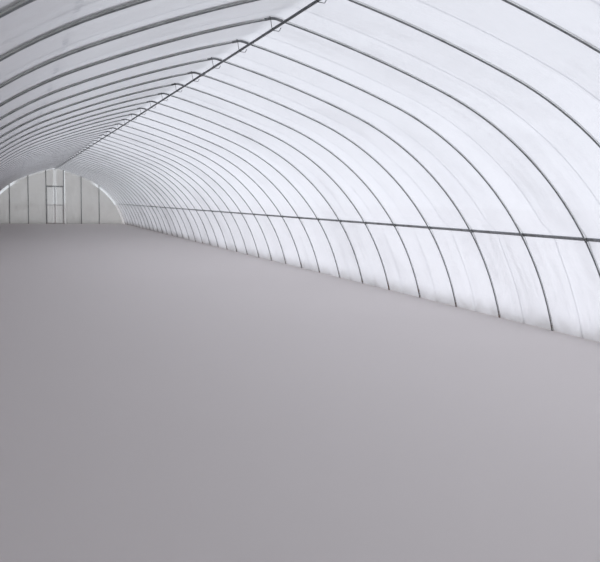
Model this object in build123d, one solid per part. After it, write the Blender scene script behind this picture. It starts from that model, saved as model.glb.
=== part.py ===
from build123d import *
import math
import os

os.makedirs("parts", exist_ok=True)

# Polytunnel greenhouse at half of its real size, in millimetres.
# X runs across the tunnel with 0 under the ridge, Y runs along it, and Z is up from the ground.
# Both ends are alike. The far end is the one at +Y.

# Hoops: two bent halves each, joined at the ridge by a sleeve
bays = 43
bay_length = 583.0
ridge_height = 1550.0  # tube centre at the ridge
tube_width = 10.5
tube_sides = 6
sleeve_width = 13.5
ridge_bend_radius = 170.0
rafter_radius = 6230.0
haunch_radius = 1822.0
rafter_start_slope = 14.5  # degrees
haunch_start_slope = 22.3
rafter_steps = 2
haunch_steps = 6
hoop_groups = 4

# Ridge purlin, hung under every hoop on a bent wire
purlin_drop = 42.0
purlin_width = 12.5
purlin_lengths = 9
purlin_joint_gap = 0.6
purlin_sleeve_length = 90.0
purlin_sleeve_wall = 1.5
purlin_overhang = 10.0  # past the end hoops' centres
wire_width = 2.5
wire_from_ridge = 16.0
wire_hook_depth = 16.0
wire_tail = 9.0

# Covering film and the channels that hold its edges
film_thickness = 3.0
rail_height = 571.0
rail_width = 18.0
rail_depth = 7.0
rail_wall = 1.2
rail_lip = 4.0

# End walls
post_width = 20.0
post_outward = 4.0  # post centre, outward of the end hoop's centre
inner_post_face = 700.0
outer_post_face = 1190.0
doorway_width = 450.0
doorway_height = 1035.0
film_edge_on_post = 10.0

# Door leaves, two at each end, hung on pins outside the film
leaf_clearance = 5.0
leaf_gap = 8.0
leaf_ground_gap = 8.0
leaf_head_gap = 2.0
leaf_bar = 12.0
leaf_film_thickness = 2.0
hinge_pin_diameter = 6.0
hinge_wall = 3.0
hinge_height = 10.0
hinge_outward = 4.0  # pin centre, outward of the doorway's edge
hinge_from_leaf_end = 150.0
eye_stand_off = 1.5
hook_thickness = 4.0
hook_lip = 1.0  # plate past the pin's wall

# Clearances
seat = 0.3
running = 0.3

tunnel_length = bays * bay_length
half_tube = tube_width / 2
hoop_places = [i * bay_length - tunnel_length / 2 for i in range(bays + 1)]


def on_circle(centre, radius, slope):
    angle = math.radians(slope)
    return (centre[0] + radius * math.sin(angle), centre[1] + radius * math.cos(angle))


def next_centre(point, radius, slope):
    angle = math.radians(slope)
    return (point[0] - radius * math.sin(angle), point[1] - radius * math.cos(angle))


def hoop_line():
    """Points (x, z) of half a hoop's centre line, from the ridge down to the ground."""
    centre = (0.0, ridge_height - ridge_bend_radius)
    points = [(0.0, ridge_height), on_circle(centre, ridge_bend_radius, rafter_start_slope)]
    centre = next_centre(points[-1], rafter_radius, rafter_start_slope)
    step = (haunch_start_slope - rafter_start_slope) / rafter_steps
    for i in range(1, rafter_steps + 1):
        points.append(on_circle(centre, rafter_radius, rafter_start_slope + i * step))
    centre = next_centre(points[-1], haunch_radius, haunch_start_slope)
    foot_slope = math.degrees(math.acos(-centre[1] / haunch_radius))
    step = (foot_slope - haunch_start_slope) / haunch_steps
    for i in range(1, haunch_steps + 1):
        points.append(on_circle(centre, haunch_radius, haunch_start_slope + i * step))
    return points


def offset_line(points, distance):
    """The same line moved outward, each corner where the moved straights meet."""
    moved = []
    for a, b in zip(points, points[1:]):
        length = math.dist(a, b)
        out = ((a[1] - b[1]) / length * distance, (b[0] - a[0]) / length * distance)
        moved.append(((a[0] + out[0], a[1] + out[1]), (b[0] + out[0], b[1] + out[1])))
    line = [moved[0][0]]
    for (a, b), (c, d) in zip(moved, moved[1:]):
        r = (b[0] - a[0], b[1] - a[1])
        s = (d[0] - c[0], d[1] - c[1])
        t = ((c[0] - a[0]) * s[1] - (c[1] - a[1]) * s[0]) / (r[0] * s[1] - r[1] * s[0])
        line.append((a[0] + t * r[0], a[1] + t * r[1]))
    return line + [moved[-1][1]]


def height_at(line, x):
    for a, b in zip(line, line[1:]):
        if a[0] <= x <= b[0]:
            return a[1] + (b[1] - a[1]) * (x - a[0]) / (b[0] - a[0])
    raise ValueError("outside the hoop")


def cut_at_height(line, height):
    """The parts of the line above and below a height."""
    for i, (a, b) in enumerate(zip(line, line[1:])):
        if b[1] <= height <= a[1]:
            x = a[0] + (b[0] - a[0]) * (a[1] - height) / (a[1] - b[1])
            return line[: i + 1] + [(x, height)], [(x, height)] + line[i + 1 :]
    raise ValueError("outside the hoop")


def down_to_ground(line):
    """Lengthens the last straight of the line until it ends on the ground."""
    (x1, z1), (x2, z2) = line[-2:]
    return line[:-1] + [(x1 + (x2 - x1) * z1 / (z1 - z2), 0.0)]


def extrude_xz(points, y_start, y_end):
    """A solid with this outline of (x, z) points, from one Y to another."""
    face = make_face(Polyline([(x, y_start, z) for x, z in points], close=True))
    return extrude(face, amount=y_end - y_start, dir=(0, 1, 0))


def block(x_range, y_range, z_range):
    size = [b - a for a, b in (x_range, y_range, z_range)]
    middle = [(a + b) / 2 for a, b in (x_range, y_range, z_range)]
    return Pos(*middle) * Box(*size)


def bar(points, width, sides):
    """A bar of few sides along straights that meet in mitres."""
    start = Vector(*points[0])
    along = Vector(*points[1]) - start
    across = Vector(0, 1, 0) if abs(along.Y) < along.length / 2 else Vector(1, 0, 0)
    plane = Plane(origin=start, x_dir=across, z_dir=along)
    outline = plane * RegularPolygon(width / 2, sides, major_radius=False)
    return sweep(outline, path=Polyline(points), transition=Transition.RIGHT)


def save(name, solids):
    solids = solids if isinstance(solids, list) else [solids]
    flat = [s for shape in solids for s in shape.solids()]
    export_step(flat[0] if len(flat) == 1 else Compound(children=flat), f"parts/{name}.step")


def both_sides(shape):
    return [mirror(shape, Plane.YZ), shape]


line = hoop_line()
sleeve_end = line[1]
sleeve_slope = math.atan2(ridge_height - sleeve_end[1], sleeve_end[0])


def longer(near, end, extra):
    """The end point of a straight, moved further along it."""
    length = math.dist(near, end)
    return tuple(e + (e - n) / length * extra for n, e in zip(near, end))


def joint_plane(gap):
    """Plane across the tube where a half hoop meets the ridge sleeve, facing down the rafter."""
    slope = math.radians(rafter_start_slope)
    down = Vector(math.cos(slope), 0, -math.sin(slope))
    return Plane(origin=Vector(sleeve_end[0], 0, sleeve_end[1]) + down * gap, z_dir=down)


def half_hoop():
    top = longer(line[2], line[1], tube_width)
    below = longer(line[-2], line[-1], tube_width)
    tube = bar([(x, 0, z) for x, z in [top] + line[2:-1] + [below]], tube_width, tube_sides)
    tube = split(tube, joint_plane(seat), keep=Keep.TOP)
    return split(tube, Plane.XY, keep=Keep.TOP)


def hoops():
    right = half_hoop()
    left = mirror(right, Plane.YZ)
    per_group = math.ceil(len(hoop_places) / hoop_groups)
    for group in range(hoop_groups):
        places = hoop_places[group * per_group : (group + 1) * per_group]
        save(f"left_hoops_{group + 1}", [Pos(0, y, 0) * left for y in places])
        save(f"right_hoops_{group + 1}", [Pos(0, y, 0) * right for y in places])


def ridge_sleeves():
    x, z = longer((0.0, ridge_height), sleeve_end, sleeve_width)
    sleeve = bar([(-x, 0, z), (0, 0, ridge_height), (x, 0, z)], sleeve_width, tube_sides)
    cut = joint_plane(0.0)
    sleeve = split(sleeve, cut, keep=Keep.BOTTOM)
    sleeve = mirror(split(mirror(sleeve, Plane.YZ), cut, keep=Keep.BOTTOM), Plane.YZ)
    save("ridge_sleeves", [Pos(0, y, 0) * sleeve for y in hoop_places])


purlin_height = ridge_height - purlin_drop
corner = 1 / math.cos(math.pi / tube_sides)  # corner width over flat width


def purlin():
    length = (tunnel_length + 2 * purlin_overhang) / purlin_lengths
    start = -length * purlin_lengths / 2
    pieces = []
    joints = []
    for i in range(purlin_lengths):
        a = start + i * length + purlin_joint_gap / 2
        b = start + (i + 1) * length - purlin_joint_gap / 2
        pieces.append(bar([(0, a, purlin_height), (0, b, purlin_height)], purlin_width, tube_sides))
        if i:
            joints.append(start + i * length)
    save("ridge_purlin", pieces)
    inner = purlin_width + 2 * seat
    outer = inner + 2 * purlin_sleeve_wall
    ends = [(0, -purlin_sleeve_length / 2, purlin_height), (0, purlin_sleeve_length / 2, purlin_height)]
    sleeve = bar(ends, outer, tube_sides) - bar(ends, inner, tube_sides)
    save("purlin_sleeves", [Pos(0, y, 0) * sleeve for y in joints])


def hangers():
    """Wire over each ridge sleeve, down its near side and under the purlin, with a short tail."""
    half_wire = wire_width / 2 * math.sqrt(2)
    sleeve_top = height_at(line, wire_from_ridge - half_wire) + sleeve_width / 2 / math.cos(sleeve_slope)
    top = sleeve_top + seat + half_wire
    beside = sleeve_width / 2 * corner + seat + half_wire
    under = purlin_height - purlin_width / 2 - seat - half_wire
    out = purlin_width / 2 * corner + seat + half_wire
    flat = purlin_width / 2 / corner
    path = [
        (-wire_from_ridge, beside, top - wire_hook_depth),
        (-wire_from_ridge, beside, top),
        (-wire_from_ridge, -beside, top),
        (-out, -beside, purlin_height),
        (-flat, -beside, under),
        (flat, -beside, under),
        (out + wire_width, -beside, under + wire_tail),
    ]
    wire = bar(path, wire_width, 4)
    save("ridge_hangers", [Pos(0, y, 0) * wire for y in hoop_places])
    return (wire_from_ridge + half_wire, top + half_wire)


post_outer = post_outward + post_width / 2
end_film_inner = post_outer + seat
end_film_outer = end_film_inner + film_thickness


def cover_line(hook_corner):
    """Inner side of the covering film: on the tubes, and over the sleeves and wire hooks at the ridge."""
    on_tubes = down_to_ground(offset_line(line[1:], half_tube + seat))
    low = on_tubes[1]
    half_sleeve = sleeve_width / 2
    sleeve_corner = (
        sleeve_end[0] + half_sleeve * math.sin(sleeve_slope),
        sleeve_end[1] + half_sleeve / math.cos(sleeve_slope),
    )
    peaks = [low[1] + (z + 2 * seat - low[1]) * low[0] / (low[0] - x) for x, z in (sleeve_corner, hook_corner)]
    return [(0.0, max(peaks))] + on_tubes[1:]


def film_and_rails(hook_corner):
    inner = cover_line(hook_corner)
    outer = down_to_ground(offset_line(inner, film_thickness))
    outer[0] = (0.0, inner[0][1] + film_thickness)
    y = tunnel_length / 2 + end_film_outer
    half_rail = rail_width / 2
    above_in, below_in = cut_at_height(inner, rail_height)
    slope = Vector(below_in[1][0] - above_in[-1][0], 0, below_in[1][1] - above_in[-1][1]).normalized()
    normal = Vector(-slope.Z, 0, slope.X)
    middle = Vector(above_in[-1][0], 0, above_in[-1][1])

    def at(along, out):
        p = middle + slope * along + normal * out
        return (p.X, p.Z)

    # Roof film from rail to rail
    edge = half_rail + seat
    right_in = above_in[:-1] + [at(-edge, 0)]
    right_out = cut_at_height(outer, rail_height)[0][:-1] + [at(-edge, film_thickness)]
    left_in = [(-x, z) for x, z in reversed(right_in[1:])]
    left_out = [(-x, z) for x, z in right_out[1:]]
    save("roof_film", extrude_xz(left_in + right_in + right_out[::-1] + left_out, -y, y))
    # Channel that opens outward, with turned-in lips
    w = rail_wall
    section = [
        at(-half_rail, 0), at(half_rail, 0), at(half_rail, rail_depth),
        at(half_rail - rail_lip, rail_depth), at(half_rail - rail_lip, rail_depth - w),
        at(half_rail - w, rail_depth - w), at(half_rail - w, w), at(-half_rail + w, w),
        at(-half_rail + w, rail_depth - w), at(-half_rail + rail_lip, rail_depth - w),
        at(-half_rail + rail_lip, rail_depth), at(-half_rail, rail_depth),
    ]
    rail = extrude_xz(section, -y, y)
    # Skirt film from the rail to the ground
    skirt_in = [at(edge, 0)] + below_in[1:]
    skirt_out = [at(edge, film_thickness)] + cut_at_height(outer, rail_height)[1][1:]
    skirt = extrude_xz(skirt_in + skirt_out[::-1], -y, y)
    for side, r, s in zip(("left", "right"), both_sides(rail), both_sides(skirt)):
        save(f"{side}_film_rail", r)
        save(f"{side}_skirt_film", s)


half_door = doorway_width / 2
hinge_x = half_door + hinge_outward
leaf_inner = end_film_outer + leaf_clearance
leaf_outer = leaf_inner + leaf_bar
hinge_y = (leaf_inner + leaf_outer) / 2
eye_radius = hinge_pin_diameter / 2 + running + hinge_wall
leaf_edge = hinge_x - eye_radius - eye_stand_off
leaf_top = doorway_height - leaf_head_gap
hinge_heights = [leaf_ground_gap + hinge_from_leaf_end, leaf_top - hinge_from_leaf_end]


def post(x_face, under):
    """Upright from the ground to the underside of the end hoop, cut to its slope."""
    far_face = x_face + post_width
    outline = [(x_face, 0), (far_face, 0), (far_face, height_at(under, far_face))]
    outline += [p for p in reversed(under) if x_face < p[0] < far_face]
    outline += [(x_face, height_at(under, x_face))]
    return extrude_xz(outline, post_outward - post_width / 2, post_outer)


def leaf():
    """Right-hand leaf: a welded frame with hinge eyes, and the film in its two panels."""
    x = (leaf_gap / 2, leaf_edge)
    y = (leaf_inner, leaf_outer)
    z = (leaf_ground_gap, leaf_top)
    middle = (z[0] + z[1]) / 2
    inside = (x[0] + leaf_bar, x[1] - leaf_bar)
    lower = (z[0] + leaf_bar, middle - leaf_bar / 2)
    upper = (middle + leaf_bar / 2, z[1] - leaf_bar)
    frame = block(x, y, z) - block(inside, y, lower) - block(inside, y, upper)
    for height in hinge_heights:
        eye = block((leaf_edge, hinge_x + eye_radius), (hinge_y - eye_radius, hinge_y + eye_radius),
                    (height - hinge_height / 2, height + hinge_height / 2))
        eye = chamfer(eye.edges().filter_by(Axis.Z).group_by(Axis.X)[-1], eye_radius / 2)
        bore = Pos(hinge_x, hinge_y, height) * Cylinder(hinge_pin_diameter / 2 + running, hinge_height)
        frame = frame + (eye - bore)
    y_film = (hinge_y - leaf_film_thickness / 2, hinge_y + leaf_film_thickness / 2)
    film_x = (inside[0] + seat, inside[1] - seat)
    films = [block(film_x, y_film, (part[0] + seat, part[1] - seat)) for part in (lower, upper)]
    return frame, films


def hinge_hooks():
    """Right-hand brackets on the door post, each with an upright pin."""
    hooks = []
    for height in hinge_heights:
        top = height - hinge_height / 2 - running
        plate = block((half_door, half_door + 2 * hinge_outward), (post_outer, hinge_y + hinge_wall + hook_lip),
                      (top - hook_thickness, top))
        pin_height = hinge_height + 2 * running
        pin = Pos(hinge_x, hinge_y, top + pin_height / 2) * Cylinder(hinge_pin_diameter / 2, pin_height)
        hooks.append(plate + pin)
    return hooks


def end_wall():
    """All pieces of the far end wall, by name, with the end hoop's centre at Y = 0."""
    under = offset_line(line, -half_tube - seat)
    under[0] = (0.0, under[0][1] - (sleeve_width - tube_width) / 2)
    inner_posts = both_sides(post(inner_post_face, under))
    outer_posts = both_sides(post(outer_post_face, under))
    door_post = post(half_door, under)
    head = block((-half_door, half_door), (post_outward - post_width / 2, post_outer),
                 (doorway_height, doorway_height + post_width))
    edge_line = down_to_ground(offset_line(line[1:], half_tube))
    edge = half_door + film_edge_on_post
    side_outline = [(edge, 0), (edge, height_at(edge_line, edge))]
    side_outline += [p for p in edge_line if p[0] > edge]
    side_film = extrude_xz(side_outline, end_film_inner, end_film_outer)
    peak = edge_line[0]
    inner = edge - seat
    bottom = doorway_height + film_edge_on_post
    corner_height = height_at(edge_line, inner)
    over_outline = [(-inner, bottom), (inner, bottom), (inner, corner_height)]
    over_outline += [peak, (-peak[0], peak[1]), (-inner, corner_height)]
    over_film = extrude_xz(over_outline, end_film_inner, end_film_outer)
    frame, films = leaf()
    left_side, right_side = both_sides(side_film)
    return {
        "posts": inner_posts + outer_posts,
        "door_posts": both_sides(door_post),
        "door_head": head,
        "film_left": left_side,
        "film_right": right_side,
        "film_over_door": over_film,
        "hinge_hooks": [s for hook in hinge_hooks() for s in both_sides(hook)],
        "left_leaf_frame": mirror(frame, Plane.YZ),
        "left_leaf_film": [mirror(f, Plane.YZ) for f in films],
        "right_leaf_frame": frame,
        "right_leaf_film": films,
    }


def ends():
    for name, shape in end_wall().items():
        shapes = shape if isinstance(shape, list) else [shape]
        far = [Pos(0, tunnel_length / 2, 0) * s for s in shapes]
        save(f"far_{name}", far)
        save(f"near_{name}", [mirror(s, Plane.XZ) for s in far])


hoops()
ridge_sleeves()
purlin()
film_and_rails(hangers())
ends()
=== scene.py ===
import math

import bpy
from mathutils import Matrix, Vector, noise


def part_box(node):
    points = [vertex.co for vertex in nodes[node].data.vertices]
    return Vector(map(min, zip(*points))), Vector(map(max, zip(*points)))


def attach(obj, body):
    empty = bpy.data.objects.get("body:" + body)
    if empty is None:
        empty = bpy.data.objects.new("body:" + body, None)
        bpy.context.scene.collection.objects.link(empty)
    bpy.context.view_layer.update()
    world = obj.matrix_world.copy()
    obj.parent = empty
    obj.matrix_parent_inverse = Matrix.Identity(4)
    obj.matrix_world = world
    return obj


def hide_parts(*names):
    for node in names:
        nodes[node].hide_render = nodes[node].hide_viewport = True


# Polytunnel greenhouse at half of its real size, in metres. X across, Y along to the far end, Z up.
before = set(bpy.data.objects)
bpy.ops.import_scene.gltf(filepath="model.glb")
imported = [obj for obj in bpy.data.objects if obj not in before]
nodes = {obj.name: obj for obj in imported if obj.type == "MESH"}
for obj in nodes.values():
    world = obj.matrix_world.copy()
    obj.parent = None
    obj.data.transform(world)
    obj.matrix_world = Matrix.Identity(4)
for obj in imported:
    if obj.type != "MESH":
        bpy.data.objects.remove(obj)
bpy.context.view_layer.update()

tunnel = {
    "bays": 43,
    "bay": 0.583,
    "ridge": 1.550,  # tube centre at the ridge
    "tube": 0.00525,  # radius
    "bend": 0.170,  # radius of the bend that sets out the rafters
    "ridgeBend": 0.065,  # radius that the tube is really bent to
    "rafter": 6.230,
    "haunch": 1.822,
    "rafterSlope": 14.5,  # degrees, where each arc starts
    "haunchSlope": 22.3,
    "groups": 4,
    "wallOut": 0.0148,  # end film, outward of the end hoop
}
half = tunnel["bays"] * tunnel["bay"] / 2
hoopPlaces = [i * tunnel["bay"] - half for i in range(tunnel["bays"] + 1)]
perGroup = len(hoopPlaces) // tunnel["groups"]


# The arcs of half a hoop, each as (centre x, centre z, radius, first slope, last slope)
def hoopArcs():
    a, b = math.radians(tunnel["rafterSlope"]), math.radians(tunnel["haunchSlope"])
    bend, rafter, haunch = tunnel["bend"], tunnel["rafter"], tunnel["haunch"]
    x, z = (bend - rafter) * math.sin(a), tunnel["ridge"] - bend + (bend - rafter) * math.cos(a)
    tight = rafter - tunnel["ridgeBend"]
    first = math.asin(-x / tight)
    found = [(0.0, z + tight * math.cos(first), tunnel["ridgeBend"], 0.0, first), (x, z, rafter, first, b)]
    x, z = x + (rafter - haunch) * math.sin(b), z + (rafter - haunch) * math.cos(b)
    found.append((x, z, haunch, b, math.acos(-z / haunch)))
    return found


arcs = hoopArcs()
footSlope = arcs[2][4]


# x and z at a slope of the hoop, moved outward; the left side has negative slopes
def onArch(slope, out=0.0):
    x, z, radius = next((a for a in arcs if abs(slope) <= a[4]), arcs[2])[:3]
    side = -1 if slope < 0 else 1
    return side * (x + (radius + out) * math.sin(abs(slope))), z + (radius + out) * math.cos(slope)


# Length along the hoop from the ridge to a slope, negative on the left
def alongArch(slope):
    total = sum(r * max(0.0, min(abs(slope), last) - first) for _, _, r, first, last in arcs)
    return math.copysign(total, slope)


# The slope at a length along the hoop
def slopeAlong(distance):
    left = abs(distance)
    for _, _, radius, first, last in arcs:
        if left <= radius * (last - first) or last == footSlope:
            return math.copysign(first + left / radius, distance)
        left -= radius * (last - first)


# The slope at which the haunch comes down to a height
def slopeAtHeight(z, out=0.0):
    _, centre, radius = arcs[2][:3]
    return math.acos((z - centre) / (radius + out))


# Height of the hoop over a place on the ground, for a side of the tube
def heightOver(x, out=0.0):
    for cx, cz, radius, _, last in arcs:
        reach = radius + out
        if abs(x) <= cx + reach * math.sin(last) + 1e-9 or last == footSlope:
            return cz + math.sqrt(max(0.0, reach**2 - (abs(x) - cx) ** 2))


# Direction down the hoop at a slope
def downHoop(slope):
    return Vector((math.cos(slope), 0, -math.sin(slope)))


# Modelling
def clearSelection():
    bpy.ops.object.select_all(action="DESELECT")


def pick(piece):
    clearSelection()
    piece.select_set(True)
    bpy.context.view_layer.objects.active = piece


# Names what was just made
def newest(name):
    piece = bpy.context.object
    piece.name = name
    return piece


def setMode(mode):
    bpy.ops.object.mode_set(mode=mode)


def shadeSmooth(degrees):
    bpy.ops.object.shade_smooth_by_angle(angle=math.radians(degrees))


def modify(piece, kind, **settings):
    pick(piece)
    modifier = piece.modifiers.new(kind.lower(), kind)
    for name, value in settings.items():
        setattr(modifier, name, value)
    bpy.ops.object.modifier_apply(modifier=modifier.name)
    return piece


def repeat(piece, count, step, **more):
    return modify(piece, "ARRAY", count=count, use_relative_offset=False, use_constant_offset=True,
                  constant_offset_displace=step, **more)


def shift(piece, move):
    piece.data.transform(Matrix.Translation(move))


def atEachHoop(piece):
    shift(piece, (0, -half, 0))
    return repeat(piece, len(hoopPlaces), (0, tunnel["bay"], 0))


sideways, endways = (1, 0, 0), (0, 1, 0)


# A copy with its own mesh, mirrored each way that is given
def copyOf(piece, name, *mirrors):
    pick(piece)
    bpy.ops.object.duplicate()
    twin = newest(name)
    for way in mirrors:
        twin.data.transform(Matrix.Scale(-1, 4, way))
        twin.data.flip_normals()
    return twin


def joined(pieces, name):
    pick(pieces[0])
    for piece in pieces:
        piece.select_set(True)
    bpy.ops.object.join()
    pieces[0].name = name
    return pieces[0]


# A piece and its mirror image on the left, as one
def withMirror(piece, name):
    return joined([piece, copyOf(piece, "mirrored", sideways)], name)


# A ring of vertices across a direction, left in edit mode with everything selected
def startRing(name, at, along, radius, sides):
    clearSelection()
    turn = Vector(along).to_track_quat("Z", "Y").to_euler()
    bpy.ops.mesh.primitive_circle_add(vertices=sides, radius=radius, location=at, rotation=turn)
    piece = newest(name)
    bpy.ops.object.transform_apply()
    setMode("EDIT")
    return piece


def extrudeBy(move):
    bpy.ops.mesh.extrude_region_move(TRANSFORM_OT_translate={"value": tuple(move)})


# Extrudes a ring in steps, each with its length and the scale of its end
def extrudeShaped(here, along, shape):
    for length, factor in shape:
        extrudeBy(along * length)
        here = here + along * length
        bpy.ops.transform.resize(value=(factor,) * 3, center_override=here)


def closeUp(piece, fill=True, smooth=40):
    bpy.ops.mesh.select_all(action="SELECT")
    bpy.ops.mesh.remove_doubles(threshold=0.00001)
    if fill:
        bpy.ops.mesh.fill_holes(sides=0)
    bpy.ops.mesh.normals_make_consistent()
    setMode("OBJECT")
    shadeSmooth(smooth)
    return piece


# Round bar or wire bent at each corner of its path: straights are extruded, bends are spun
def bentRod(name, path, radius, bend, sides=8, steps=3):
    path = [Vector(p) for p in path]
    here = path[0]
    piece = startRing(name, here, path[1] - here, radius, sides)
    for corner, after in zip(path[1:], path[2:]):
        along, onward = (corner - here).normalized(), (after - corner).normalized()
        turn = along.angle(onward)
        back = bend * math.tan(turn / 2)
        start = corner - along * back
        axis = along.cross(onward).normalized()
        extrudeBy(start - here)
        bpy.ops.mesh.spin(steps=steps, angle=-turn, center=start + axis.cross(along) * bend, axis=axis)
        here = corner + onward * back
    extrudeBy(path[-1] - here)
    return closeUp(piece)


# Block with rounded edges between two corners
def roundedBlock(low, high, edge):
    low, high = Vector(low), Vector(high)
    clearSelection()
    bpy.ops.mesh.primitive_cube_add(size=1, location=(low + high) / 2)
    piece = newest("block")
    piece.scale = high - low
    bpy.ops.object.transform_apply()
    setMode("EDIT")
    bpy.ops.mesh.bevel(offset=edge, segments=2, affect="EDGES")
    return closeUp(piece, fill=False)


# Screw head on its washer, standing out from a surface
def screw(at, out, size):
    out = Vector(out).normalized()
    piece = startRing("screw", at, out, size * 1.35, 12)
    extrudeShaped(Vector(at), out * size, ((0.3, 0.7), (0.1, 1.0), (0.8, 0.85)))
    return closeUp(piece, smooth=30)


# A CAD node's own shape with softened edges
def softened(node, name, edge, segments=2):
    piece = copyOf(nodes[node], name)
    piece.parent = None
    for key in [k for k in piece.keys() if k.startswith("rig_")]:
        del piece[key]
    setMode("EDIT")
    bpy.ops.mesh.select_all(action="SELECT")
    bpy.ops.mesh.remove_doubles(threshold=0.00002)
    bpy.ops.mesh.dissolve_limited(angle_limit=math.radians(2))
    setMode("OBJECT")
    modify(piece, "BEVEL", width=edge, segments=segments, limit_method="ANGLE", angle_limit=math.radians(35))
    shadeSmooth(40)
    return piece


# Cloth from a grid: place(column, row) gives a point, and the pattern's own place in metres
def clothGrid(name, columns, rows, place, thickness, facing):
    clearSelection()
    bpy.ops.mesh.primitive_grid_add(x_subdivisions=len(columns) - 1, y_subdivisions=len(rows) - 1, size=1)
    piece = newest(name)
    mesh = piece.data
    placed = [place(column, row) for row in rows for column in columns]
    mesh.vertices.foreach_set("co", [value for point, _ in placed for value in point])
    layer = mesh.uv_layers.new(name="cloth")
    layer.data.foreach_set("uv", [value for loop in mesh.loops for value in placed[loop.vertex_index][1]])
    mesh.update()
    if sum((face.normal * face.area for face in mesh.polygons), Vector()).dot(Vector(facing)) < 0:
        mesh.flip_normals()
    modify(piece, "SOLIDIFY", thickness=thickness, offset=1.0)
    shadeSmooth(60)
    return piece


# Smooth step from 0 to 1
def soft(x):
    x = max(0.0, min(1.0, x))
    return x * x * (3 - 2 * x)


# Wrinkles of two sizes
def wrinkles(coarse, fine, share=0.5):
    return noise.noise(Vector(coarse)) + share * noise.noise(Vector(fine))


# Even steps after a start, up to an end
def evenSteps(start, end, count):
    return [start + (end - start) * i / count for i in range(1, count + 1)]


# Materials
class Amount:
    def __init__(self, recipe, socket):
        self.recipe, self.socket = recipe, socket

    def withMath(self, operation, *values):
        return self.recipe.node("ShaderNodeMath", {"operation": operation}, dict(enumerate(values)))

    def __add__(self, other):
        return self.withMath("ADD", self, other)

    def __radd__(self, other):
        return self.withMath("ADD", other, self)

    def __sub__(self, other):
        return self.withMath("SUBTRACT", self, other)

    def __rsub__(self, other):
        return self.withMath("SUBTRACT", other, self)

    def __mul__(self, other):
        return self.withMath("MULTIPLY", self, other)

    def __rmul__(self, other):
        return self.withMath("MULTIPLY", other, self)

    def __truediv__(self, other):
        return self.withMath("DIVIDE", self, other)

    def __abs__(self):
        return self.withMath("ABSOLUTE", self)


# Nodes of a material or of the world
class Recipe:
    def __init__(self, owner):
        owner.use_nodes = True
        self.owner, self.tree = owner, owner.node_tree
        self.tree.nodes.clear()

    def node(self, kind, settings=None, sockets=None, out=0):
        made = self.tree.nodes.new(kind)
        for key, value in (settings or {}).items():
            setattr(made, key, value)
        for key, value in (sockets or {}).items():
            if isinstance(value, Amount):
                self.tree.links.new(value.socket, made.inputs[key])
            else:
                made.inputs[key].default_value = value
        return Amount(self, made.outputs[out])

    def coordinates(self):
        return self.node("ShaderNodeTexCoord", out="Object")

    def partOf(self, vector, axis):
        return self.node("ShaderNodeSeparateXYZ", {}, {"Vector": vector}, out="XYZ".index(axis))

    def stretched(self, vector, scale):
        return self.node("ShaderNodeMapping", {}, {"Vector": vector, "Scale": scale})

    def grain(self, vector, scale, detail=3.0, distortion=0.0):
        return self.node("ShaderNodeTexNoise", {}, {"Vector": vector, "Scale": scale, "Detail": detail,
                                                    "Distortion": distortion})

    def between(self, value, low, high):
        return self.node("ShaderNodeMapRange", {"interpolation_type": "SMOOTHSTEP"},
                         {"Value": value, "From Min": low, "From Max": high})

    def mixed(self, share, first, second):
        return self.node("ShaderNodeMix", {"data_type": "RGBA"}, {0: share, 6: first, 7: second}, out=2)

    def bump(self, height, strength, distance):
        return self.node("ShaderNodeBump", {}, {"Height": height, "Strength": strength, "Distance": distance})

    def blend(self, share, first, second):
        return self.node("ShaderNodeMixShader", {}, {0: share, 1: first, 2: second})

    def finished(self, shader, output="ShaderNodeOutputMaterial"):
        self.tree.links.new(shader.socket, self.tree.nodes.new(output).inputs["Surface"])
        return self.owner


def colour(red, green, blue):
    return (red, green, blue, 1.0)


# How far a spot lies outside the centre line of one of the hoop's arcs
def outsideArc(recipe, arc, aside, height):
    spot = recipe.node("ShaderNodeCombineXYZ", {}, {0: aside - arc[0], 2: height - arc[1]})
    return recipe.node("ShaderNodeVectorMath", {"operation": "LENGTH"}, {0: spot}, out=1) - arc[2]


steelLook = {
    "dark": colour(0.200, 0.215, 0.225), "light": colour(0.340, 0.360, 0.375),
    "chalkColour": colour(0.40, 0.41, 0.41), "chalk": 0.35, "patches": 18.0,
    "grimeColour": colour(0.085, 0.080, 0.072), "grime": 0.65,
    "rustColour": colour(0.16, 0.062, 0.026), "rust": 0.9, "rustTo": (0.17, 0.06),  # heights where it fades in
    "bloomColour": colour(0.88, 0.90, 0.89), "bloom": 0.0, "bloomFrom": (-0.0018, 0.0026),  # painted light on the side by the film, from the tube's middle
    "rough": 0.50, "metallic": 0.20,
}


# Painted light: near-white on a hoop's side by the film, standing in for light that comes through the film
def bloomOn(recipe, place, height, fine, look):
    aside = abs(recipe.partOf(place, "X"))
    rafter, haunch = (outsideArc(recipe, arc, aside, height) for arc in arcs[1:])
    meets = arcs[1][0] + arcs[1][2] * math.sin(arcs[1][4])
    onHaunch = recipe.between(aside, meets - 0.03, meets + 0.03)
    outside = rafter * (1 - onHaunch) + haunch * onHaunch
    return recipe.between(outside + fine * 0.001, *look["bloomFrom"]) * look["bloom"]
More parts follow.
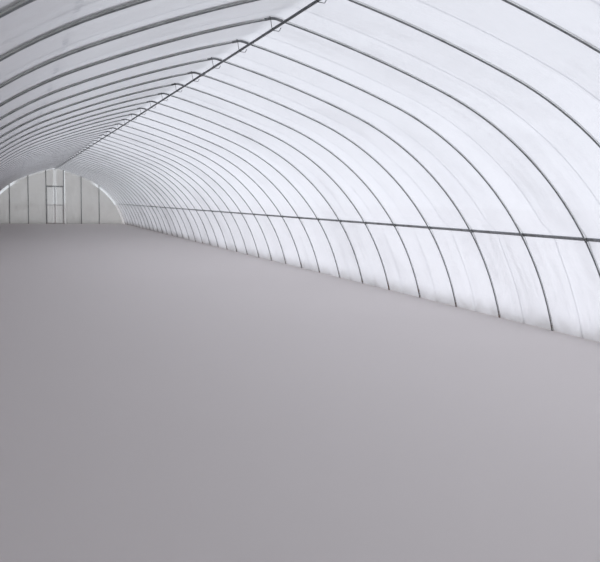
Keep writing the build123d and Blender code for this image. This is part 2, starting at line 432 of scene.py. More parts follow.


# Dull galvanised steel: faint crystals, chalky patches, grime, rust by the ground, and where asked painted light on
# the side by the film
def steelFinish(name, **changes):
    look = {**steelLook, **changes}
    recipe = Recipe(bpy.data.materials.new(name))
    place = recipe.coordinates()
    height = recipe.partOf(place, "Z")
    patches = recipe.grain(place, look["patches"], 5, 0.4)
    fine = recipe.grain(place, 420, 3)
    crystals = recipe.node("ShaderNodeTexVoronoi", {}, {"Vector": place, "Scale": 260.0})
    chalk = recipe.between(patches + fine * 0.25, 0.52, 0.78)
    grime = recipe.between(recipe.grain(place, 9, 6, 1.0) + fine * 0.2, 0.58, 0.80)
    low = recipe.between(height + patches * 0.12, *look["rustTo"])
    rusty = low * recipe.between(recipe.grain(place, 55, 6, 0.5), 0.42, 0.62) * look["rust"]
    metal = recipe.mixed(crystals * 0.5, look["dark"], look["light"])
    metal = recipe.mixed(chalk * look["chalk"], metal, look["chalkColour"])
    if look["bloom"]:
        metal = recipe.mixed(bloomOn(recipe, place, height, fine, look), metal, look["bloomColour"])
    metal = recipe.mixed(grime * look["grime"], metal, look["grimeColour"])
    metal = recipe.mixed(rusty, metal, look["rustColour"])
    return recipe.finished(recipe.node("ShaderNodeBsdfPrincipled", {}, {
        "Base Color": metal, "Roughness": look["rough"] + chalk * 0.18 + rusty * 0.2 - crystals * 0.12,
        "Metallic": look["metallic"], "Specular IOR Level": 0.5,
        "Normal": recipe.bump(fine * 0.5 + crystals * 0.3 + rusty, 0.25, 0.0006)}))


# The hoop tubes carry painted light on their side by the film
tubeSteel = steelFinish("dullGalvanisedTube", dark=colour(0.165, 0.178, 0.185), light=colour(0.28, 0.297, 0.31),
                        bloom=1.0, grime=0.30)
purlinSteel = steelFinish("dullGalvanisedPurlin", dark=colour(0.105, 0.115, 0.125),
                          light=colour(0.185, 0.200, 0.215), chalk=0.2)
sleeveSteel = steelFinish("pressedSleeveSteel", dark=colour(0.150, 0.158, 0.165), light=colour(0.26, 0.27, 0.28),
                          patches=60.0)
wireSteel = steelFinish("bentWireSteel", dark=colour(0.055, 0.055, 0.058), light=colour(0.13, 0.13, 0.13),
                        patches=90.0, rough=0.42)
railSteel = steelFinish("rolledChannelSteel", light=colour(0.36, 0.38, 0.40), rough=0.36, metallic=0.6)
postSteel = steelFinish("squarePostSteel", patches=12.0, grime=0.5)
leafSteel = steelFinish("leafFrameSteel", light=colour(0.30, 0.32, 0.34), patches=22.0)
screwSteel = steelFinish("zincScrew", dark=colour(0.26, 0.26, 0.24), light=colour(0.44, 0.43, 0.38), rough=0.3,
                         metallic=0.85, rust=0.3)

# The film's clean and tint colours are partly its own cloudy tone and partly painted reflected light: their pink
# stands in for warm light bounced up onto the film from below
filmLook = {
    "clean": colour(0.53, 0.480, 0.482), "tint": colour(0.475, 0.425, 0.430), "rough": 0.30,
    "glow": colour(0.86, 0.875, 0.92), "glowShare": 0.52,  # light that comes through it, scattered
    "clearColour": colour(0.93, 0.95, 0.97), "cover": 0.66,  # the rest is seen through
    "dustColour": colour(0.50, 0.49, 0.47), "dust": 0.25, "hoopMarks": 0.7,
    "splashColour": colour(0.36, 0.33, 0.26), "splash": 0.35,  # earth from the ground
    "darkeningColour": colour(0.46, 0.425, 0.435), "darkening": 1.0,  # darker towards the far end; the same colour carries the painted shade low on the left
    "paintedShade": 1.0,  # painted shade: greener, denser and darker low on the left
    "seamColour": colour(0.30, 0.33, 0.42), "seam": 0.9, "seamAt": 1.003,  # seam's length from the ridge, on the left
    "paintedHoopShadowColour": colour(0.42, 0.45, 0.43), "paintedHoopShadow": 0.75,  # painted shadow on the near side of each hoop, on the left
    "slits": 0.0,
}

# Strips where an end film stands off and lets light in
slits = {
    "underRafter": (0.045, (0.98, 0.88), 0.45),  # width, where across it ends, strength
    "underHaunch": (0.085, (0.90, 1.15), 1.0),
    "byDoorPost": ((0.246, 0.250), (0.285, 0.275), 0.8),  # its two edges across
    "leavesMeet": ((0.055, 0.040), 0.45),
    "ease": 0.02,
}


def openEdges(recipe, across, height):
    aside = abs(across)
    strips = []
    for arc, name in ((arcs[1], "underRafter"), (arcs[2], "underHaunch")):
        width, ends, strength = slits[name]
        under = recipe.between(outsideArc(recipe, arc, aside, height), -width, slits["ease"] - width)
        strips.append(under * recipe.between(aside, *ends) * strength)
    near, far, strength = slits["byDoorPost"]
    strips.append(recipe.between(across, *near) * recipe.between(across, *far) * strength)
    ends, strength = slits["leavesMeet"]
    return strips[0] + strips[1] + strips[2] + recipe.between(aside, *ends) * strength


# Cloudy film: dust in streaks, marks where it lies on the hoops, a painted shadow beside them on the left, fine
# creases
def filmFinish(name, **changes):
    look = {**filmLook, **changes}
    recipe = Recipe(bpy.data.materials.new(name))
    cloth, place = recipe.node("ShaderNodeUVMap", {"uv_map": "cloth"}), recipe.coordinates()
    along, down = recipe.partOf(cloth, "X"), recipe.partOf(cloth, "Y")
    across, height = recipe.partOf(place, "X"), recipe.partOf(place, "Z")
    clouds = recipe.grain(place, 1.1, 3, 0.6)
    blotches = recipe.grain(place, 7.5, 4, 0.8)
    runs = recipe.grain(recipe.stretched(cloth, (26.0, 1.6, 1.0)), 1.0, 3, 0.3)
    ragged = recipe.grain(place, 60.0, 2) * 0.010
    fromHoop = along.withMath("PINGPONG", along + half, tunnel["bay"] / 2) / (tunnel["bay"] / 2)
    pastHoop = along.withMath("FRACT", (along + half) / tunnel["bay"])
    onHoop = recipe.between(fromHoop, 0.030, 0.012) * look["hoopMarks"]
    dust = recipe.between(clouds * 0.5 + blotches * 0.2 + runs * 0.4, 0.45, 0.85) * look["dust"] + onHoop
    # Painted shadow: a darker, denser band on the near side of each hoop, on the left, standing in for the shadow
    # each hoop casts on the film
    paintedHoopShadow = recipe.between(pastHoop + ragged, 0.900, 0.972) * recipe.between(across, 0.05, -0.25) * look["paintedHoopShadow"]
    splash = recipe.between(height + blotches * 0.16 + runs * 0.08, 0.26, 0.07) * look["splash"]
    # Darker towards the far end
    darkening = recipe.between(along + clouds * 2.0, -3.0, 10.0) * look["darkening"]
    # Painted shade: low on the left the film is darkened and made denser, as if in shade
    paintedShade = recipe.between(across + clouds * 0.2, -0.6, -1.5) * look["paintedShade"]
    seam = recipe.between(abs(down + look["seamAt"]), 0.016, 0.004) * look["seam"] * (
        recipe.between(fromHoop, 0.35, 0.9) * 0.6 + 0.1) * recipe.between(ragged, 0.003, 0.007)
    sheetColour = recipe.mixed(clouds, look["clean"], look["tint"])
    for share, mark in ((darkening + paintedShade * 0.7, "darkening"), (seam, "seam"), (dust, "dust"), (splash, "splash"),
                        (paintedHoopShadow, "paintedHoopShadow")):
        sheetColour = recipe.mixed(share, sheetColour, look[mark + "Colour"])
    creases = recipe.grain(recipe.stretched(cloth, (34.0, 7.0, 1.0)), 1.0, 4, 1.6)
    bump = recipe.bump(creases, 0.35, 0.004)
    front = recipe.node("ShaderNodeBsdfPrincipled", {}, {
        "Base Color": sheetColour, "Roughness": look["rough"] + dust * 0.3 + splash * 0.2, "Normal": bump,
        "Specular IOR Level": 0.45, "IOR": 1.5})
    through = recipe.node("ShaderNodeBsdfTranslucent", {}, {"Color": look["glow"], "Normal": bump})
    clear = recipe.node("ShaderNodeBsdfTransparent", {}, {"Color": look["clearColour"]})
    glow = look["glowShare"] - dust * 0.25 - splash * 0.25 - paintedHoopShadow * 0.45 - darkening * 0.22 - seam * 0.3 - paintedShade * 0.15
    cover = look["cover"] + dust * 0.25 + splash * 0.3 + blotches * 0.06 + paintedHoopShadow * 0.3 + paintedShade * 0.2
    if look["slits"]:
        cover = cover - openEdges(recipe, across, height) * look["slits"]
    return recipe.finished(recipe.blend(cover, clear, recipe.blend(glow, front, through)))


roofCloth = filmFinish("cloudyRoofFilm")
skirtCloth = filmFinish("cloudySkirtFilm", splash=0.7, dust=0.4, seam=0.0)
endLook = {
    "clean": colour(0.78, 0.765, 0.745), "tint": colour(0.70, 0.685, 0.665), "glow": colour(0.90, 0.90, 0.89),
    "glowShare": 0.55, "hoopMarks": 0.0, "paintedHoopShadow": 0.0, "darkening": 0.0, "paintedShade": 0.0, "seam": 0.0, "slits": 0.55,
}
endCloth = filmFinish("cloudyEndFilm", **endLook, dust=0.5, cover=0.72)
leafCloth = filmFinish("cloudyLeafFilm", **endLook, dust=0.3, cover=0.6)


def wovenFinish(name):
    recipe = Recipe(bpy.data.materials.new(name))
    cloth = recipe.node("ShaderNodeUVMap", {"uv_map": "cloth"})
    weave, across = (recipe.node("ShaderNodeTexWave", {"wave_profile": "SIN", "bands_direction": direction},
                                 {"Vector": cloth, "Scale": scale, "Distortion": 0.4}, out=1)
                     for direction, scale in (("X", 150.0), ("Y", 90.0)))
    faded = recipe.between(recipe.grain(recipe.coordinates(), 14, 4), 0.45, 0.7)
    yarn = recipe.mixed(weave * 0.4 + across * 0.3, colour(0.62, 0.63, 0.64), colour(0.78, 0.79, 0.80))
    yarn = recipe.mixed(faded * 0.5, yarn, colour(0.62, 0.61, 0.58))
    bump = recipe.bump(weave + across * 0.6, 0.5, 0.0006)
    front = recipe.node("ShaderNodeBsdfPrincipled", {}, {"Base Color": yarn, "Roughness": 0.72, "Normal": bump})
    through = recipe.node("ShaderNodeBsdfTranslucent", {}, {"Color": colour(0.90, 0.91, 0.92)})
    clear = recipe.node("ShaderNodeBsdfTransparent", {}, {"Color": colour(0.95, 0.96, 0.97)})
    return recipe.finished(recipe.blend(0.38 + weave * 0.12, clear, recipe.blend(0.6, front, through)))


strapYarn = wovenFinish("flatStrapYarn")
print("materials ready")


def dress(piece, finish, slot, replaces=(), body="root"):
    piece.data.materials.clear()
    piece.data.materials.append(finish)
    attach(piece, body)
    if replaces:
        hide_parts(*replaces)
    return piece


# Hoops, each half one smooth tube from inside its sleeve to the ground
hoop = {"sides": 16, "steps": (9, 26), "fromRidge": 0.033, "slot": "hoop_tube"}


def hoopTube():
    start = slopeAlong(hoop["fromRidge"])
    x, z = onArch(start)
    piece = startRing("hoopTube", (x, 0, z), downHoop(start), tunnel["tube"], hoop["sides"])
    for (cx, cz, _, first, last), count in zip(arcs[1:], hoop["steps"]):
        bpy.ops.mesh.spin(steps=count, angle=max(first, start) - last, center=(cx, 0, cz), axis=(0, 1, 0))
    extrudeBy(downHoop(footSlope) * tunnel["tube"] * 2)
    bpy.ops.mesh.select_all(action="SELECT")
    bpy.ops.mesh.bisect(plane_co=(0, 0, 0), plane_no=(0, 0, 1), clear_inner=True)  # level with the ground
    return closeUp(piece)


rightTube = hoopTube()
leftTube = copyOf(rightTube, "leftTube", sideways)
for tube, side in ((rightTube, "right"), (leftTube, "left")):
    for group in range(tunnel["groups"]):
        run = copyOf(tube, f"{side}Hoops{group + 1}")
        shift(run, (0, hoopPlaces[group * perGroup], 0))
        repeat(run, perGroup, (0, tunnel["bay"], 0))
        dress(run, tubeSteel, hoop["slot"], [f"{side}_hoops_{group + 1}"])
    bpy.data.objects.remove(tube)
print("hoops ready")

# Ridge sleeves: a bent tube over the two hoop ends, lipped at both ends, with four screws
sleeve = {"radius": 0.0063, "wall": 0.0008, "lip": 0.0004, "lipLength": 0.0012, "reach": 0.043, "sides": 20,
          "bendSteps": 8, "screw": 0.0017, "screwAt": 0.029, "slot": "sleeves"}


def ridgeSleeve():
    bend, lipLength = arcs[0][4], sleeve["lipLength"]
    x, z = onArch(bend)
    straight = sleeve["reach"] - bend * arcs[0][2]
    middle = straight - 2 * lipLength
    lip = sleeve["radius"] + sleeve["lip"]
    start = Vector((-x, 0, z)) - downHoop(-bend) * straight
    piece = startRing("ridgeSleeve", start, downHoop(-bend), lip, sleeve["sides"])
    extrudeShaped(start, downHoop(-bend), ((lipLength, 1.0), (lipLength, sleeve["radius"] / lip), (middle, 1.0)))
    bpy.ops.mesh.spin(steps=sleeve["bendSteps"], angle=-2 * bend, center=(0, 0, arcs[0][1]), axis=(0, 1, 0))
    extrudeShaped(Vector((x, 0, z)), downHoop(bend), ((middle, 1.0), (lipLength, lip / sleeve["radius"]),
                                                      (lipLength, 1.0)))
    return modify(closeUp(piece, fill=False), "SOLIDIFY", thickness=sleeve["wall"], offset=-1.0)


def sleeveScrews():
    heads = []
    for side in (-1, 1):
        x, z = onArch(slopeAlong(side * sleeve["screwAt"]))
        for face in (-1, 1):
            out = Vector((0, face, -0.25)).normalized()
            heads.append(screw(Vector((x, 0, z)) + out * sleeve["radius"], out, sleeve["screw"]))
    return joined(heads, "sleeveScrews")


for piece, name, finish, replaced in ((ridgeSleeve(), "ridgeSleeves", sleeveSteel, ["ridge_sleeves"]),
                                      (sleeveScrews(), "ridgeSleeveScrews", screwSteel, ())):
    piece.name = name
    dress(atEachHoop(piece), finish, sleeve["slot"], replaced)

# Purlin in nine lengths below the ridge, and its couplings
purlin = {
    "radius": 0.00625, "drop": 0.042, "lengths": 9, "gap": 0.0006, "overhang": 0.010, "edge": 0.0004, "sides": 20,
    "coupling": 0.090, "couplingRadius": 0.0080, "wall": 0.0014, "screw": 0.0019, "screwsAt": (-0.3, 0.3),
    "slot": "purlin",
    # lips at the ends and a groove at the middle, as shares of its length and scales
    "shape": ((0.03, 1.0), (0.02, 0.94), (0.42, 1.0), (0.03, 0.97), (0.03, 1 / 0.97), (0.42, 1.0), (0.02, 1 / 0.94),
              (0.03, 1.0)),
}
purlinHeight = tunnel["ridge"] - purlin["drop"]
purlinStep = (2 * half + 2 * purlin["overhang"]) / purlin["lengths"]


def alongPurlin(piece, count):
    shift(piece, (0, -purlinStep * (count - 1) / 2, 0))
    return repeat(piece, count, (0, purlinStep, 0))


def ridgePurlin():
    clearSelection()
    bpy.ops.mesh.primitive_cylinder_add(vertices=purlin["sides"], radius=purlin["radius"],
                                        depth=purlinStep - purlin["gap"], location=(0, 0, purlinHeight),
                                        rotation=(math.pi / 2, 0, 0))
    piece = newest("ridgePurlin")
    bpy.ops.object.transform_apply()
    modify(piece, "BEVEL", width=purlin["edge"], segments=2, limit_method="ANGLE", angle_limit=math.radians(60))
    shadeSmooth(40)
    return piece


def coupling():
    length, radius = purlin["coupling"], purlin["couplingRadius"]
    start = Vector((0, -length / 2, purlinHeight))
    piece = startRing("purlinCouplings", start, (0, 1, 0), radius, purlin["sides"])
    extrudeShaped(start, Vector((0, length, 0)), purlin["shape"])
    closeUp(piece, fill=False)
    modify(piece, "SOLIDIFY", thickness=purlin["wall"], offset=-1.0)
    out = Vector((0.5, 0, -1)).normalized()
    heads = [screw(Vector((0, length * share, purlinHeight)) + out * (radius - 0.0005), out, purlin["screw"])
             for share in purlin["screwsAt"]]
    return joined([piece] + heads, "purlinCouplings")


dress(alongPurlin(ridgePurlin(), purlin["lengths"]), purlinSteel, purlin["slot"], ["ridge_purlin"])
dress(alongPurlin(coupling(), purlin["lengths"] - 1), sleeveSteel, sleeve["slot"], ["purlin_sleeves"])

# Bent wire over each sleeve that carries the purlin
hanger = {"wire": 0.0016, "bend": 0.0038, "gap": 0.0004, "fromRidge": 0.018, "hook": 0.014, "tail": (0.024, 0.033),
          "tailRise": 0.007, "slot": "wire_and_hooks"}


def ridgeHanger():
    wire, fromRidge, gap = hanger["wire"], hanger["fromRidge"], hanger["gap"]
    beside = sleeve["radius"] + gap + wire
    onSleeve = heightOver(fromRidge, beside)
    under = purlinHeight - purlin["radius"] - gap - wire
    out = purlin["radius"] + gap + wire
    bow, end = hanger["tail"]
    path = [(-fromRidge, beside, onSleeve - hanger["hook"]), (-fromRidge, beside, onSleeve),
            (-fromRidge, -beside, onSleeve), (-out - 0.001, -beside - 0.0006, purlinHeight),
            (-0.002, -beside, under), (bow, -beside, under - 0.002),
            (end, -beside + 0.001, purlinHeight + hanger["tailRise"])]
    return bentRod("ridgeHangers", path, wire, hanger["bend"], 8, 4)


dress(atEachHoop(ridgeHanger()), wireSteel, hanger["slot"], ["ridge_hangers"])
print("ridge ready")

# Film over the hoops
film = {
    "thick": 0.0008, "overhang": 0.0173, "sag": 0.016, "crease": 0.0011,
    "onTube": 0.0010,  # outward of the tube
    "tubeContact": 0.007,  # half the length that lies on a tube
    "overSleeve": 0.0042, "sleeveEnd": (0.030, 0.055), "tentAlong": 0.10,  # lift over a sleeve, and where it fades
    "rail": 0.571, "lipOut": 0.0132, "lipEdge": 0.0095, "lipEase": 0.085,  # over the channel's lip
    "pressed": 0.0082, "pressedEnd": (0.003, 0.0055),  # into the channel
    "heldFrom": 0.12,  # the sag starts this far from the channel
    "shares": (0.0, 0.03, 0.13, 0.29, 0.445, 0.5, 0.555, 0.71, 0.87, 0.97),
    "railRows": (0.085, 0.06, 0.04, 0.024, 0.012, 0.0095, 0.0075, 0.0055, 0.003, 0.0),
    "ridgeEnd": 0.10, "rafterEnd": 0.891, "nearRail": 0.11, "rows": (6, 11, 16),
}
filmBase = tunnel["tube"] + film["onTube"]
railSlope = slopeAtHeight(film["rail"], tunnel["tube"])
haunchRadius = arcs[2][2]
haunchEnd = alongArch(railSlope)


def filmColumns(shares):
    return [-half - film["overhang"]] + [
        place + share * tunnel["bay"] for place in hoopPlaces[:-1] for share in shares
    ] + [half, half + film["overhang"]]


# How much of the sag a place along the tunnel has, and its distance from the nearest hoop
def sagAt(y):
    if abs(y) > half:
        return 0.0, 0.0
    fromHoop = abs((y + half + tunnel["bay"] / 2) % tunnel["bay"] - tunnel["bay"] / 2)
    share = max(0.0, (fromHoop - film["tubeContact"]) / (tunnel["bay"] / 2 - film["tubeContact"]))
    return share * 0.75 + soft(share) * 0.25, fromHoop


# Outward place of the film near a rail: over the channel's lip and pressed into it
def railLift(fromRail):
    if fromRail < film["lipEdge"]:
        start, ease = film["pressedEnd"]
        return film["pressed"] + (film["lipOut"] - film["pressed"]) * soft((fromRail - start) / ease)
    return filmBase + (film["lipOut"] - filmBase) * (1 - soft((fromRail - film["lipEdge"]) / film["lipEase"]))


def filmOut(y, slope):
    share, fromHoop = sagAt(y)
    fromRail = abs(abs(slope) - railSlope) * haunchRadius
    held = soft(fromRail / film["heldFrom"])
    wobble = wrinkles((y * 7.0, slope * 5.0, 2.0), (y * 19.0, slope * 11.0, 5.0))
    start, ease = film["sleeveEnd"]
    onSleeve = (1 - soft((abs(alongArch(slope)) - start) / ease)) * (1 - soft(fromHoop / film["tentAlong"]))
    out = filmBase + film["overSleeve"] * onSleeve
    out = max(out, railLift(fromRail)) if fromRail > film["lipEdge"] else railLift(fromRail)
    return out - (film["sag"] * share - film["crease"] * wobble * soft(share * 2)) * held


def roofPlace(y, slope):
    x, z = onArch(slope, filmOut(y, slope))
    return (x, y, z), (y, alongArch(slope))


# Slopes on both sides of the ridge at these lengths along the hoop
def bothSides(lengths):
    slopes = [slopeAlong(length) for length in lengths]
    return [-slope for slope in reversed(slopes)] + [0.0] + slopes


roofEnds = (0.0, film["ridgeEnd"], film["rafterEnd"], haunchEnd - film["nearRail"])
roofLengths = [length for start, end, rows in zip(roofEnds, roofEnds[1:], film["rows"])
               for length in evenSteps(start, end, rows)] + [haunchEnd - row for row in film["railRows"]]
roof = clothGrid("roofFilm", filmColumns(film["shares"]), bothSides(roofLengths), roofPlace, film["thick"],
                 (0, 0, 1))
dress(roof, roofCloth, "cover_film", ["roof_film"])

# Skirts from the rails to the ground, a little loose
skirt = {
    "wave": 0.0035, "sag": 0.006, "rows": 13, "floorGap": 0.0004, "slot": "cover_film",
    "shares": (0.0, 0.03, 0.10, 0.18, 0.27, 0.36, 0.445, 0.5, 0.555, 0.64, 0.73, 0.82, 0.90, 0.97),
}
groundSlope = slopeAtHeight(0.0, filmBase)
skirtLength = (groundSlope - railSlope) * haunchRadius


def skirtPlace(y, fromRail, phase=0.0):
    share, _ = sagAt(y)
    down = fromRail / skirtLength
    fold = math.sin(y * 21.0 + 1.3 * math.sin(y * 5.3 + phase)) + 0.6 * noise.noise(
        Vector((y * 9.0, down * 3.0, phase)))
    out = railLift(fromRail) + skirt["wave"] * fold * soft(share * 1.6) * soft((down - 0.12) / 0.5)
    out -= skirt["sag"] * share * soft((down - 0.05) / 0.3)
    x, z = onArch(railSlope + fromRail / haunchRadius, out)
    return (x, y, max(z, skirt["floorGap"])), (y, haunchEnd + fromRail)


def leftSkirtPlace(y, fromRail):
    (x, _, z), pattern = skirtPlace(y, fromRail, 2.0)
    return (-x, y, z), pattern


skirtRows = sorted({*film["railRows"], film["nearRail"], *evenSteps(film["nearRail"], skirtLength, skirt["rows"])})
for side, place, facing in (("right", skirtPlace, (1, 0, 0)), ("left", leftSkirtPlace, (-1, 0, 0))):
    piece = clothGrid(side + "SkirtFilm", filmColumns(skirt["shares"]), skirtRows, place, film["thick"], facing)
    dress(piece, skirtCloth, skirt["slot"], [side + "_skirt_film"])
print("roof and skirt film ready")

# Film channels along the sides, the zigzag wire that holds the film in them, and their clips
rail = {
    "seat": 0.0003, "depth": 0.0070, "edge": 0.0004, "slot": "film_rail",
    "wire": 0.0009, "swing": 0.0046, "pitch": 0.0365, "wireOut": 0.0096,
    "turns": ((0.09, 1), (0.41, -1), (0.09, -1), (0.41, 1)),  # share of the pitch, side it ends on
    "clipWire": 0.0011, "clipBend": 0.0045, "clipLeg": 0.0060, "clipHook": (0.0112, 0.0088),
}
railX, railZ = onArch(railSlope, tunnel["tube"])
railOut = Vector((math.sin(railSlope), 0, math.cos(railSlope)))


# A point by the right rail: down the film's slope, along the tunnel, outward of the tube's centre
def atRail(down, y, out):
    return Vector((railX, y, railZ)) + downHoop(railSlope) * down + railOut * (out - tunnel["tube"])


def zigzag():
    count = int((2 * half + 0.02) / rail["pitch"])
    here = atRail(rail["swing"], -count * rail["pitch"] / 2, rail["wireOut"])
    piece = startRing("zigzag", here, (0, 1, 0), rail["wire"], 5)
    for share, side in rail["turns"]:
        to = atRail(side * rail["swing"], here.y + share * rail["pitch"], rail["wireOut"])
        extrudeBy(to - here)
        here = to
    closeUp(piece, fill=False)
    repeat(piece, count, (0, rail["pitch"], 0), use_merge_vertices=True, merge_threshold=0.0001)
    setMode("EDIT")
    return closeUp(piece)


def railClips():
    reach, leg, (hookDown, hookOut) = tunnel["tube"] + rail["clipWire"] + 0.0004, rail["clipLeg"], rail["clipHook"]
    clips = []
    for side in (-1, 1):
        path = [atRail(side * hookDown, -reach, hookOut), atRail(side * leg, -reach, -reach),
                atRail(side * leg, reach, -reach), atRail(side * hookDown, reach, hookOut)]
        clips.append(bentRod("clip", path, rail["clipWire"], rail["clipBend"], 6, 3))
    return atEachHoop(joined(clips, "railClips"))


rightZigzag = zigzag()
rightClips = railClips()
low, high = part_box("right_film_rail")
rightRail = softened("right_film_rail", "rightFilmRail", rail["edge"], 1)
shift(rightRail, Vector((railX, 0, railZ)) + railOut * (rail["seat"] + rail["depth"] / 2) -
      Vector(((low.x + high.x) / 2, 0, (low.z + high.z) / 2)))
for right, name, finish, slot in ((rightRail, "FilmRail", railSteel, rail["slot"]),
                                  (rightZigzag, "RailWire", wireSteel, rail["slot"]),
                                  (rightClips, "RailClips", wireSteel, "wire_and_hooks")):
    right.name = "right" + name
    left = copyOf(right, "left" + name, sideways)
    for piece, side in ((right, "right"), (left, "left")):
        dress(piece, finish, slot, [f"{side}_film_rail"] if name == "FilmRail" else ())
print("rails ready")

# Flat straps over the film in the middle of each bay, pegged on both sides
strap = {
    "width": 0.008, "thick": 0.0010, "gap": 0.0009, "step": 0.07, "rows": 8, "slot": "cover_film",
    "railRows": (-0.085, -0.06, -0.04, -0.024, -0.0125, 0.0, 0.0125, 0.024, 0.04, 0.06, 0.085),
    "overRail": 0.0125,  # straight over the channel this far from its middle
}
peg = {"wire": 0.0022, "bend": 0.0065, "out": 0.012, "lean": 0.003, "half": 0.010, "top": 0.026, "foot": 0.0005,
       "slot": "wire_and_hooks"}
firstStrap = -half + tunnel["bay"] / 2


def strapPlace(across, slope):
    fromRail = abs(abs(slope) - railSlope) * haunchRadius
    if fromRail < strap["overRail"]:
        out = film["lipOut"]
    elif abs(slope) > railSlope:
        out = max(railLift(fromRail), filmBase - skirt["sag"])
    else:
        out = filmOut(firstStrap, slope)
    x, z = onArch(slope, out + film["thick"] + strap["gap"])
    return (x, firstStrap + across, max(z, 0.0)), (across, alongArch(slope))


strapLengths = ([strap["step"] * i for i in range(1, int(haunchEnd / strap["step"]))] +
                [haunchEnd + row for row in strap["railRows"]] +
                evenSteps(haunchEnd + strap["railRows"][-1], haunchEnd + skirtLength, strap["rows"]))
straps = clothGrid("filmStraps", [-strap["width"] / 2, 0.0, strap["width"] / 2], bothSides(strapLengths), strapPlace,
                   strap["thick"], (0, 0, 1))
dress(repeat(straps, tunnel["bays"], (0, tunnel["bay"], 0)), strapYarn, strap["slot"])


def groundPegs():
    x = onArch(groundSlope, filmBase)[0] + peg["out"]
    near, far = firstStrap - peg["half"], firstStrap + peg["half"]
    path = [(x, near, peg["foot"]), (x - peg["lean"], near, peg["top"]), (x - peg["lean"], far, peg["top"]),
            (x, far, peg["foot"])]
    pegs = withMirror(bentRod("peg", path, peg["wire"], peg["bend"], 6, 3), "groundPegs")
    return repeat(pegs, tunnel["bays"], (0, tunnel["bay"], 0))


dress(groundPegs(), wireSteel, peg["slot"])
print("straps ready")

# End walls, made for the far end; the near end is its mirror image
wall = {
    "inner": 0.700, "outer": 1.190, "post": 0.020, "door": 0.225, "doorHeight": 1.035,  # inner sides of the posts
    "edge": 0.0007, "topGap": 0.0003, "slot": "end_posts",
    "film": 0.0008, "onPost": 0.010, "filmEnd": 1.9235, "floorGap": 0.0004, "ripple": 0.0022,
}
bracket = {"half": 0.013, "behind": (0.0076, 0.0062), "under": 0.036, "over": 0.004, "screws": (0.028, 0.003),
           "screw": 0.0021, "edge": 0.0005}
batten = {
    "door": (0.0155, 0.0085, 0.0016, 0.0011),  # middle from the post's inner side, width, thickness, screw
    "post": (0.010, 0.014, 0.0026, 0.0019),
    "foot": 0.012, "underTop": 0.012, "edge": 0.0005, "screwStep": 0.16, "firstScrew": 0.05, "lastScrew": 0.04,
    "over": (0.004, 0.0105, 0.0185),  # in from the doorway's side, from and to above its head
}
wallY = half + tunnel["wallOut"]


def wallRipple(x, z, top):
    ripple = wrinkles((x * 5.0, z * 2.2, 3.0), (x * 13.0, z * 5.0, 9.0), 0.6)
    return wall["ripple"] * (0.55 + 0.45 * ripple) * soft(z / 0.06) * soft((top - z) / 0.08)


def sidePlace(share, up):
    start = wall["door"] + wall["onPost"]
    x = start + share * (wall["filmEnd"] - start)
    top = heightOver(x, tunnel["tube"])
    z = wall["floorGap"] + up * (top - wall["floorGap"])
    fromPost = min(abs(x - wall[post] - wall["post"] / 2) for post in ("inner", "outer", "door"))
    y = wallY + wallRipple(x, z, top) * soft((fromPost - 0.012) / 0.12)
    return (x, y, z), (x, z)


def overPlace(share, up):
    x = (share * 2 - 1) * (wall["door"] + 0.0095)
    low, top = wall["doorHeight"] + wall["onPost"], heightOver(x, tunnel["tube"])
    z = low + up * (top - low)
    y = wallY + wallRipple(x, z - low, top - low) * soft((wall["door"] - abs(x)) / 0.08)
    return (x, y, z), (x, z)


shares = [i / 44 for i in range(45)]
ups = [i / 24 for i in range(25)]
sideFilm = clothGrid("sideFilm", shares, ups, sidePlace, wall["film"], (0, 1, 0))
overFilm = clothGrid("overFilm", shares[::3] + [1.0], ups, overPlace, wall["film"], (0, 1, 0))


# Post tops follow the true arc of the end hoop
def raiseTops(piece):
    for vertex in piece.data.vertices:
        if vertex.co.z > 0.7:
            vertex.co.z = min(heightOver(vertex.co.x, -tunnel["tube"] - wall["topGap"]), vertex.co.z + 0.006)


def postBrackets():
    plates = []
    back, front = (half - behind for behind in bracket["behind"])
    for post in ("door", "inner", "outer"):
        x = wall[post] + wall["post"] / 2
        tubeZ = heightOver(x)
        plates.append(roundedBlock((x - bracket["half"], back, tubeZ - bracket["under"]),
                                   (x + bracket["half"], front, tubeZ + bracket["over"]), bracket["edge"]))
        plates += [screw((x, back + 0.0002, tubeZ - under), (0, -1, 0), bracket["screw"])
                   for under in bracket["screws"]]
    return withMirror(joined(plates, "brackets"), "endBrackets")


# Thin battens that press the end film on the posts, with their screws
def battens():
    strips = []
    y = wallY + wall["film"]
    for post in ("door", "inner", "outer"):
        middle, width, thick, size = batten["door" if post == "door" else "post"]
        x = wall[post] + middle
        top = heightOver(x, -batten["underTop"])
        strips.append(roundedBlock((x - width / 2, y, batten["foot"]), (x + width / 2, y + thick, top),
                                   batten["edge"]))
        first, last = batten["firstScrew"], top - batten["lastScrew"]
        for z in [first] + evenSteps(first, last, int(top / batten["screwStep"])):
            strips.append(screw((x, y + thick - 0.0002, z), (0, 1, 0), size))
    both = withMirror(joined(strips, "battens"), "battens")
    aside, low, high = batten["over"]
    over = roundedBlock((aside - wall["door"], y, wall["doorHeight"] + low),
                        (wall["door"] - aside, y + batten["door"][2], wall["doorHeight"] + high), batten["edge"])
    return joined([both, over], "endBattens")


